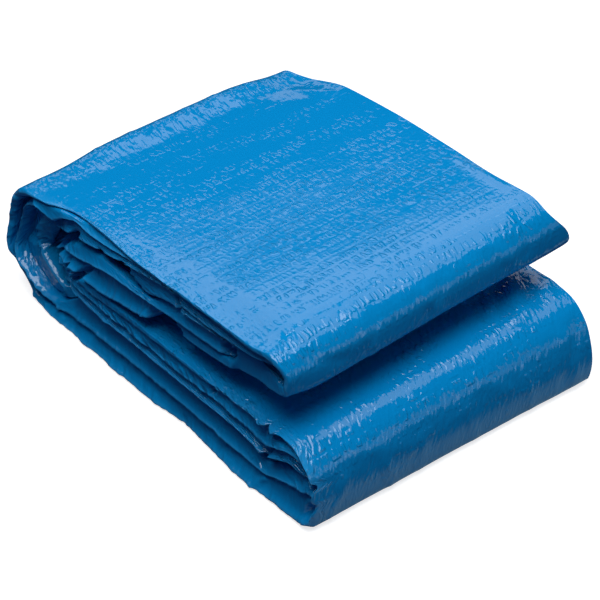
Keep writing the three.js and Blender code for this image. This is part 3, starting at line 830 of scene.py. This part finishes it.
# How plainly the small creases of handling show on the left bend, its shoulder, the ends and the lower half,
# and from where to where along an axis they come in.
WRINKLE_COLUMNS = ("share", "axis", "start", "end")
WRINKLE_ROWS = [
    (0.8, "x", 12, -4),
    (0.36, "x", 34, 12),
    (0.15, "x", 288, 302),
    (0.15, "z", 72, 66),
]

# The same for the far left corner, for the near side, where it grows with how crumpled that is, and for the
# rest.
CORNER_WRINKLES = 0.3
CORNER_WRINKLES_X = (80, 50)
CORNER_WRINKLES_Y = (235, 250)
NEAR_WRINKLES_Y = (26, 4)
NEAR_WRINKLES_LEAST = 0.15
MOST_CRUMPLED = 1.2
WRINKLES_LEAST = 0.05


def wrinkle_shares(points):
    """Where the creases of handling are: most on the near side and the left bend, least on the top."""
    x, y, z = points[..., 0], points[..., 1], points[..., 2]
    crumpled = smooth(near_roughness(x, z) / MOST_CRUMPLED)
    near = ramp(y, *NEAR_WRINKLES_Y) * (NEAR_WRINKLES_LEAST + (1 - NEAR_WRINKLES_LEAST) * crumpled)
    corner = CORNER_WRINKLES * ramp(y, *CORNER_WRINKLES_Y) * ramp(x, *CORNER_WRINKLES_X)
    share = np.maximum(near, corner)
    for row in rows_of(WRINKLE_COLUMNS, WRINKLE_ROWS):
        along = x if row.axis == "x" else z
        share = np.maximum(share, row.share * ramp(along, row.start, row.end))
    return WRINKLES_LEAST + (1 - WRINKLES_LEAST) * share


# How plainly the weave shows at the left bend and where the cloth is upright, as parts of where it shows
# most. It comes in along X from a line that slants across the cloth, and with how level the cloth is.
WEAVE_AT_BEND = 0.2
WEAVE_UPRIGHT = 0.35
WEAVE_X = (30, 180)
WEAVE_SLANT = 0.25
WEAVE_LEVEL = (0.25, 0.85)


def weave_shares(points):
    """How plainly the weave shows: more towards the free ends, and less where the cloth is upright."""
    x, y = points[..., 0], points[..., 1]
    level = ramp(np.abs(grid_normals(points)[..., 2]), *WEAVE_LEVEL)
    onward = ramp(x - WEAVE_SLANT * y, *WEAVE_X)
    return (WEAVE_AT_BEND + (1 - WEAVE_AT_BEND) * onward) * (WEAVE_UPRIGHT + (1 - WEAVE_UPRIGHT) * level)


def grid_faces(rows, fine):
    """Faces over a grid with every row in its fine columns and every second row in the others."""
    columns = len(fine)
    used = np.zeros((rows, columns), bool)
    used[:, fine] = True
    used[::2, :] = True
    index = np.cumsum(used.reshape(-1)).reshape(rows, columns) - 1
    even = np.arange(0, rows - 1, 2)
    every = np.arange(rows - 1)
    loops = []
    sizes = []
    for c in range(columns - 1):
        if fine[c] and fine[c + 1]:
            faces = [index[every, c], index[every + 1, c], index[every + 1, c + 1], index[every, c + 1]]
        elif fine[c]:
            faces = [index[even, c], index[even + 1, c], index[even + 2, c], index[even + 2, c + 1],
                     index[even, c + 1]]
        elif fine[c + 1]:
            faces = [index[even, c], index[even + 2, c], index[even + 2, c + 1], index[even + 1, c + 1],
                     index[even, c + 1]]
        else:
            faces = [index[even, c], index[even + 2, c], index[even + 2, c + 1], index[even, c + 1]]
        faces = np.stack(faces, -1)
        loops.append(faces.reshape(-1))
        sizes.append(np.full(len(faces), faces.shape[1]))
    return used, np.concatenate(loops), np.concatenate(sizes)


def sheet_object(name, points, fine, along, across, marks):
    used, loops, sizes = grid_faces(len(points), fine)
    shifted = (points[used] - np.array([ORIGIN_X, ORIGIN_Y, 0.0])) * MILLIMETRE
    mesh = bpy.data.meshes.new(name)
    mesh.vertices.add(len(shifted))
    mesh.vertices.foreach_set("co", shifted.reshape(-1))
    mesh.loops.add(len(loops))
    mesh.loops.foreach_set("vertex_index", loops.astype(np.int32))
    mesh.polygons.add(len(sizes))
    starts = np.concatenate([[0], np.cumsum(sizes)[:-1]])
    mesh.polygons.foreach_set("loop_start", starts.astype(np.int32))
    mesh.polygons.foreach_set("use_smooth", np.ones(len(sizes), bool))
    mesh.update(calc_edges=True)
    mesh.validate()
    uv_layer = mesh.uv_layers.new(name="cloth_metres")
    flat = np.stack([along[used], across[used]], -1) * MILLIMETRE
    uv_layer.data.foreach_set("uv", flat[loops].reshape(-1))
    for mark_name, values in marks.items():
        attribute = mesh.attributes.new(mark_name, "FLOAT", "POINT")
        attribute.data.foreach_set("value", values[used].astype(np.float32))
    made = bpy.data.objects.new(name, mesh)
    bpy.context.scene.collection.objects.link(made)
    return made


def build_ground_cloth():
    """The cloth and its flat length and width in metres."""
    distance = row_distances()
    points, layer, crest, side, fine = Sheet(distance).placed()
    along, across = cloth_lengths(points, distance)
    points = wrinkled(points, layer, side, distance)
    # The crest lines carry the painted highlight of the rolled folds.
    marks = {"fold_crest_highlight": crest,
             "wrinkle_share": wrinkle_shares(points),
             "weave_share": weave_shares(points)}
    cloth = sheet_object("ground_cloth_sheet", points, fine, along, across, marks)
    length = path_distances[-1] * MILLIMETRE
    width = float(across.max()) * MILLIMETRE
    return cloth, (length, width)


class NodeBench:
    """Short calls that lay out and join the nodes of one tree."""

    def __init__(self, tree):
        self.nodes = tree.nodes
        self.links = tree.links

    def put(self, socket, value):
        if isinstance(value, bpy.types.NodeSocket):
            self.links.new(value, socket)
        else:
            socket.default_value = value

    def math(self, operation, first, second=0.0):
        node = self.nodes.new("ShaderNodeMath")
        node.operation = operation
        self.put(node.inputs[0], first)
        self.put(node.inputs[1], second)
        return node.outputs[0]

    def between(self, value, low, high):
        """Nought below low, one above high, and a smooth step from one to the other."""
        node = self.nodes.new("ShaderNodeMapRange")
        node.interpolation_type = "SMOOTHSTEP"
        self.put(node.inputs["Value"], value)
        self.put(node.inputs["From Min"], low)
        self.put(node.inputs["From Max"], high)
        return node.outputs["Result"]

    def parts(self, vector):
        node = self.nodes.new("ShaderNodeSeparateXYZ")
        self.put(node.inputs[0], vector)
        return node.outputs

    def mixed(self, first, second, share):
        """The first colour where the share is nought and the second where it is one."""
        node = self.nodes.new("ShaderNodeMix")
        node.data_type = "RGBA"
        self.put(node.inputs["A"], first)
        self.put(node.inputs["B"], second)
        self.put(node.inputs["Factor"], share)
        return node.outputs["Result"]

    def mark(self, name):
        """A value that the mesh carries at each of its points."""
        node = self.nodes.new("ShaderNodeAttribute")
        node.attribute_name = name
        return node.outputs["Fac"]

    def stretched_noise(self, u, v, length, width, away, detail=0.0):
        """Noise whose marks run so long one way of the cloth and so wide the other."""
        place = self.nodes.new("ShaderNodeCombineXYZ")
        self.put(place.inputs[0], self.math("ADD", self.math("DIVIDE", u, length), away))
        self.put(place.inputs[1], self.math("ADD", self.math("DIVIDE", v, width), away))
        noise = self.nodes.new("ShaderNodeTexNoise")
        noise.noise_dimensions = "2D"
        noise.inputs["Scale"].default_value = 1.0
        noise.inputs["Detail"].default_value = detail
        self.put(noise.inputs["Vector"], place.outputs[0])
        return noise.outputs["Fac"]


def height_group(name, height_of):
    """A node group that turns a place on the flat cloth, in metres, and a share into a height."""
    group = bpy.data.node_groups.new(name, "ShaderNodeTree")
    group.interface.new_socket("Cloth Place", in_out="INPUT", socket_type="NodeSocketVector")
    group.interface.new_socket("Share", in_out="INPUT", socket_type="NodeSocketFloat")
    group.interface.new_socket("Height", in_out="OUTPUT", socket_type="NodeSocketFloat")
    bench = NodeBench(group)
    entry = group.nodes.new("NodeGroupInput")
    leave = group.nodes.new("NodeGroupOutput")
    apart = bench.parts(entry.outputs["Cloth Place"])
    height = height_of(bench, apart[0], apart[1])
    bench.put(leave.inputs["Height"], bench.math("MULTIPLY", height, entry.outputs["Share"]))
    return group


# The coated weave's relief, in metres on the flat cloth: the size of its short ticks, of the rows that they
# keep to as rungs, of the places where they crowd into ladders, of the lines along the tapes, and how high
# it all stands.
TICK_LENGTH = 0.0085
TICK_WIDTH = 0.0029
RUNG_ROW = 0.0098
RUNG_SWAY = 0.0024
LADDER_SPACING = 0.017
LADDER_LENGTH = 0.055
LINE_SPACING = 0.0034
LINE_LENGTH = 0.03
RELIEF_HEIGHT = 0.0006

# Over which values of the noise the ladders and ticks come in, over which part of a row its rungs end, and
# how high lone ticks, crowded ones and the lines are beside one another.
LADDER_RANGE = (0.34, 0.7)
TICK_RANGE = (0.44, 0.74)
RUNG_END = (0.26, 0.44)
LONE_TICKS = 0.12
CROWDED_TICKS = 0.9
LINE_SHARE = 0.12

# The small creases of handling, in metres on the flat cloth, and how far they slant across it.
WRINKLE_LENGTH = 0.017
WRINKLE_WIDTH = 0.006
WRINKLE_HEIGHT = 0.0019
WRINKLE_SLANT = 0.35
WRINKLE_RIDGES = -2.0
WRINKLE_GRAIN = 0.4

# Where in the noise each pattern is taken from, and how much finer detail the less even ones have.
LADDER_AWAY = 3.3
TICK_AWAY = 17.1
SWAY_AWAY = 61.3
LINE_AWAY = 41.7
RIDGE_AWAY = 5.7
GRAIN_AWAY = 23.9
UNEVEN_DETAIL = 1.0
RIDGE_DETAIL = 1.5


def woven_relief(bench, u, v):
    """The coated tapes' ticks and lines."""
    crowd = bench.stretched_noise(u, v, LADDER_SPACING, LADDER_LENGTH, LADDER_AWAY, UNEVEN_DETAIL)
    crowd = bench.math("MULTIPLY", bench.between(crowd, *LADDER_RANGE), CROWDED_TICKS)
    sway = bench.stretched_noise(u, v, LADDER_SPACING, LADDER_SPACING, SWAY_AWAY)
    swayed = bench.math("ADD", u, bench.math("MULTIPLY", sway, RUNG_SWAY))
    row = bench.math("FRACT", bench.math("DIVIDE", swayed, RUNG_ROW))
    off_middle = bench.math("ABSOLUTE", bench.math("SUBTRACT", row, 0.5))
    rungs = bench.math("SUBTRACT", 1.0, bench.between(off_middle, *RUNG_END))
    ticks = bench.stretched_noise(u, v, TICK_LENGTH, TICK_WIDTH, TICK_AWAY)
    ticks = bench.math("MULTIPLY", bench.between(ticks, *TICK_RANGE), rungs)
    ticks = bench.math("MULTIPLY", ticks, bench.math("ADD", crowd, LONE_TICKS))
    lines = bench.stretched_noise(v, u, LINE_LENGTH, LINE_SPACING, LINE_AWAY)
    return bench.math("ADD", ticks, bench.math("MULTIPLY", lines, LINE_SHARE))


def handled_wrinkles(bench, u, v):
    """The small creases that handling leaves."""
    slant = bench.math("ADD", v, bench.math("MULTIPLY", u, WRINKLE_SLANT))
    broad = bench.stretched_noise(u, slant, WRINKLE_LENGTH, WRINKLE_WIDTH, RIDGE_AWAY, RIDGE_DETAIL)
    ridge = bench.math("ABSOLUTE", bench.math("SUBTRACT", broad, 0.5))
    grain = bench.stretched_noise(slant, u, WRINKLE_WIDTH, WRINKLE_WIDTH, GRAIN_AWAY, UNEVEN_DETAIL)
    return bench.math("ADD", bench.math("MULTIPLY", ridge, WRINKLE_RIDGES),
                      bench.math("MULTIPLY", grain, WRINKLE_GRAIN))


CLOTH_BLUE = (0.001, 0.24, 0.58, 1.0)
# The paler blue that the crests of the near side's rolled folds get, and how much of it: a painted
# highlight.
CREST_HIGHLIGHT_BLUE = (0.04, 0.33, 0.68, 1.0)
CREST_HIGHLIGHT_SHARE = 0.5
COATING_ROUGHNESS = 0.06
COATING_INDEX = 1.5


def plain_material(name):
    """A new material with one shader, its nodes laid out by a bench."""
    material = bpy.data.materials.new(name)
    material.use_nodes = True
    bench = NodeBench(material.node_tree)
    bench.nodes.clear()
    output = bench.nodes.new("ShaderNodeOutputMaterial")
    shader = bench.nodes.new("ShaderNodeBsdfPrincipled")
    bench.put(output.inputs["Surface"], shader.outputs["BSDF"])
    return material, bench, shader


def coated_cloth_material():
    material, bench, shader = plain_material("coated_cloth")
    shader.inputs["Roughness"].default_value = COATING_ROUGHNESS
    shader.inputs["IOR"].default_value = COATING_INDEX
    # A painted highlight: paler blue along the crests of the rolled folds.
    crest = bench.math("MULTIPLY", bench.mark("fold_crest_highlight"), CREST_HIGHLIGHT_SHARE)
    bench.put(shader.inputs["Base Color"], bench.mixed(CLOTH_BLUE, CREST_HIGHLIGHT_BLUE, crest))
    place = bench.nodes.new("ShaderNodeUVMap")
    place.uv_map = "cloth_metres"
    wrinkles = height_group("handled_wrinkles", handled_wrinkles)
    relief = height_group("woven_relief", woven_relief)
    normal = None
    for group, share, distance in ((wrinkles, "wrinkle_share", WRINKLE_HEIGHT),
                                   (relief, "weave_share", RELIEF_HEIGHT)):
        made = bench.nodes.new("ShaderNodeGroup")
        made.node_tree = group
        bench.put(made.inputs["Cloth Place"], place.outputs["UV"])
        bench.put(made.inputs["Share"], bench.mark(share))
        bump = bench.nodes.new("ShaderNodeBump")
        bump.inputs["Strength"].default_value = 1.0
        bump.inputs["Distance"].default_value = distance
        bench.put(bump.inputs["Height"], made.outputs["Height"])
        if normal is not None:
            bench.put(bump.inputs["Normal"], normal)
        normal = bump.outputs["Normal"]
    bench.put(shader.inputs["Normal"], normal)
    return material


# The floor's half width in metres, how it glows for the camera and for the cloth's reflections of it, the
# stretch in front of the free ends that glows in glossy rays alone to paint a reflection on the cloth's
# ends, and the tones that the camera and the cloth gather from it.
FLOOR_REACH = 6.0
FLOOR_GLOW = 0.75
FLOOR_WHITE = (1.0, 1.0, 1.0, 1.0)
FLOOR_SHINE = (0.5, 0.85, 1.0, 1.0)
FLOOR_REFLECTED_GLOW = 0.6
FLOOR_REFLECTED_GLOW_FROM = 0.16
FLOOR_REFLECTED_GLOW_TO = 0.195
FLOOR_REFLECTED_GLOW_FADE = 0.03
FLOOR_TONE = (0.5, 0.5, 0.5, 1.0)
FLOOR_BOUNCE = (0.02, 0.05, 0.1, 1.0)


def floor_material():
    """Pale, and darker in what the cloth gathers from it than in what the camera sees. A stretch in front of
    the free ends glows in glossy rays alone: a painted reflection on the cloth's ends.
    """
    material, bench, shader = plain_material("pale_floor")
    shader.inputs["Roughness"].default_value = 1.0
    shader.inputs["Specular IOR Level"].default_value = 0.0
    rays = bench.nodes.new("ShaderNodeLightPath")
    seen = rays.outputs["Is Camera Ray"]
    bench.put(shader.inputs["Emission Color"], bench.mixed(FLOOR_SHINE, FLOOR_WHITE, seen))
    bench.put(shader.inputs["Base Color"], bench.mixed(FLOOR_BOUNCE, FLOOR_TONE, seen))
    x = bench.parts(bench.nodes.new("ShaderNodeNewGeometry").outputs["Position"])[0]
    # A stretch in front of the free ends glows in glossy rays alone, which paints a reflection on the
    # cloth's ends.
    past_reflected_glow = bench.between(x, FLOOR_REFLECTED_GLOW_TO, FLOOR_REFLECTED_GLOW_TO + FLOOR_REFLECTED_GLOW_FADE)
    reflected_glow = bench.math("SUBTRACT", bench.between(x, FLOOR_REFLECTED_GLOW_FROM, FLOOR_REFLECTED_GLOW_TO), past_reflected_glow)
    reflected_glow = bench.math("MULTIPLY", bench.math("MULTIPLY", reflected_glow, FLOOR_REFLECTED_GLOW), rays.outputs["Is Glossy Ray"])
    glow = bench.math("ADD", bench.math("MULTIPLY", seen, FLOOR_GLOW), reflected_glow)
    bench.put(shader.inputs["Emission Strength"], glow)
    return material


def lay_floor():
    corners = [(-FLOOR_REACH, -FLOOR_REACH, 0), (FLOOR_REACH, -FLOOR_REACH, 0),
               (FLOOR_REACH, FLOOR_REACH, 0), (-FLOOR_REACH, FLOOR_REACH, 0)]
    mesh = bpy.data.meshes.new("studio_floor")
    mesh.from_pydata(corners, [], [(0, 1, 2, 3)])
    floor = bpy.data.objects.new("studio_floor", mesh)
    bpy.context.scene.collection.objects.link(floor)
    floor.data.materials.append(floor_material())


WORLD_COLOUR = (0.3, 0.55, 1.0, 1.0)
WORLD_STRENGTH = 0.08
WORLD_REFLECTED = 0.02

# Each light's name, direction, distance and size in metres, and how bright its face is.
STUDIO_LIGHTS = [
    ("key_box", (0.08, -0.12, 0.98), 2.0, (1.6, 1.6), 5.0),
    ("left_box", (-0.62, -0.33, 0.71), 2.0, (1.2, 0.6), 0.35),
    ("end_box", (0.93, 0.1, 0.25), 2.0, (1.2, 0.8), 0.9),
    ("crown_box", (0.0, 0.5, 0.86), 2.0, (1.4, 0.7), 1.5),
    ("left_wall", (-0.85, 0.5, 0.2), 2.2, (1.5, 0.3), 0.7),
    ("right_wall", (0.72, 0.5, 0.12), 2.2, (1.6, 0.5), 0.4),
]
LIGHT_TARGET = (0.0, 0.0, 0.06)

# The back light, which grows brighter upwards: from and to how many degrees above the floor, and how
# bright.
BACK_TURN = 148.0
BACK_DISTANCE = 2.0
BACK_WIDTH = 1.87
BACK_STEPS = [
    (27.2, 28.6, 0.12),
    (28.6, 30.0, 0.3),
    (30.0, 31.6, 0.9),
    (31.6, 54.0, 1.5),
]


def soft_box(name, direction, distance, size, brightness):
    """A rectangular area light that stands off in a direction and faces the cloth."""
    light = bpy.data.lights.new(name, "AREA")
    light.shape = "RECTANGLE"
    light.size, light.size_y = size
    light.energy = brightness * math.pi * size[0] * size[1]
    made = bpy.data.objects.new(name, light)
    bpy.context.scene.collection.objects.link(made)
    away = Vector(direction).normalized()
    made.location = Vector(LIGHT_TARGET) + away * distance
    made.rotation_euler = away.to_track_quat("Z", "Y").to_euler()


def light_studio():
    world = bpy.data.worlds.new("studio")
    world.use_nodes = True
    bench = NodeBench(world.node_tree)
    background = bench.nodes["Background"]
    background.inputs["Color"].default_value = WORLD_COLOUR
    rays = bench.nodes.new("ShaderNodeLightPath")
    strength = bench.nodes.new("ShaderNodeMapRange")
    strength.inputs["To Min"].default_value = WORLD_STRENGTH
    strength.inputs["To Max"].default_value = WORLD_REFLECTED
    bench.put(strength.inputs["Value"], rays.outputs["Is Glossy Ray"])
    bench.put(background.inputs["Strength"], strength.outputs["Result"])
    bpy.context.scene.world = world
    for name, direction, distance, size, brightness in STUDIO_LIGHTS:
        soft_box(name, direction, distance, size, brightness)
    turn = math.radians(BACK_TURN)
    for i, (low, high, brightness) in enumerate(BACK_STEPS):
        rise = math.radians((low + high) / 2)
        direction = (math.cos(turn) * math.cos(rise), math.sin(turn) * math.cos(rise), math.sin(rise))
        height = 2 * BACK_DISTANCE * math.tan(math.radians(high - low) / 2)
        soft_box("back_box_%d" % i, direction, BACK_DISTANCE, (BACK_WIDTH, height), brightness)


# The camera's place in millimetres, its turns in degrees, and how many pixels its focal length is in an
# image so many pixels wide. The sensor is in millimetres and the clip distance in metres.
CAMERA_PLACE = (1217.5, -712.75, 1072.25)
CAMERA_AZIMUTH = 51.26
CAMERA_ELEVATION = 37.84
CAMERA_ROLL = -0.35
CAMERA_FOCUS = 2300.0
IMAGE_SIZE = 600.0
SENSOR = 36.0
CLIP_END = 50.0


def set_camera():
    azimuth = math.radians(CAMERA_AZIMUTH)
    elevation = math.radians(CAMERA_ELEVATION)
    roll = math.radians(CAMERA_ROLL)
    ahead = Vector((-math.sin(azimuth) * math.cos(elevation), math.cos(azimuth) * math.cos(elevation),
                    -math.sin(elevation)))
    right = ahead.cross(Vector((0, 0, 1))).normalized()
    up = right.cross(ahead)
    turned_right = math.cos(roll) * right + math.sin(roll) * up
    turned_up = -math.sin(roll) * right + math.cos(roll) * up
    camera = bpy.data.cameras.new("camera")
    camera.sensor_width = SENSOR
    camera.sensor_fit = "HORIZONTAL"
    camera.lens = CAMERA_FOCUS / IMAGE_SIZE * SENSOR
    camera.clip_end = CLIP_END
    made = bpy.data.objects.new("camera", camera)
    bpy.context.scene.collection.objects.link(made)
    place = (Vector(CAMERA_PLACE) - Vector((ORIGIN_X, ORIGIN_Y, 0.0))) * MILLIMETRE
    made.matrix_world = Matrix((
        (turned_right.x, turned_up.x, -ahead.x, place.x),
        (turned_right.y, turned_up.y, -ahead.y, place.y),
        (turned_right.z, turned_up.z, -ahead.z, place.z),
        (0, 0, 0, 1),
    ))
    bpy.context.scene.camera = made


ground_cloth, flat_size = build_ground_cloth()
ground_cloth.data.materials.append(coated_cloth_material())
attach(ground_cloth, "root")
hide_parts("ground_cloth")
lay_floor()
light_studio()
set_camera()
bpy.context.scene.view_settings.view_transform = "Standard"
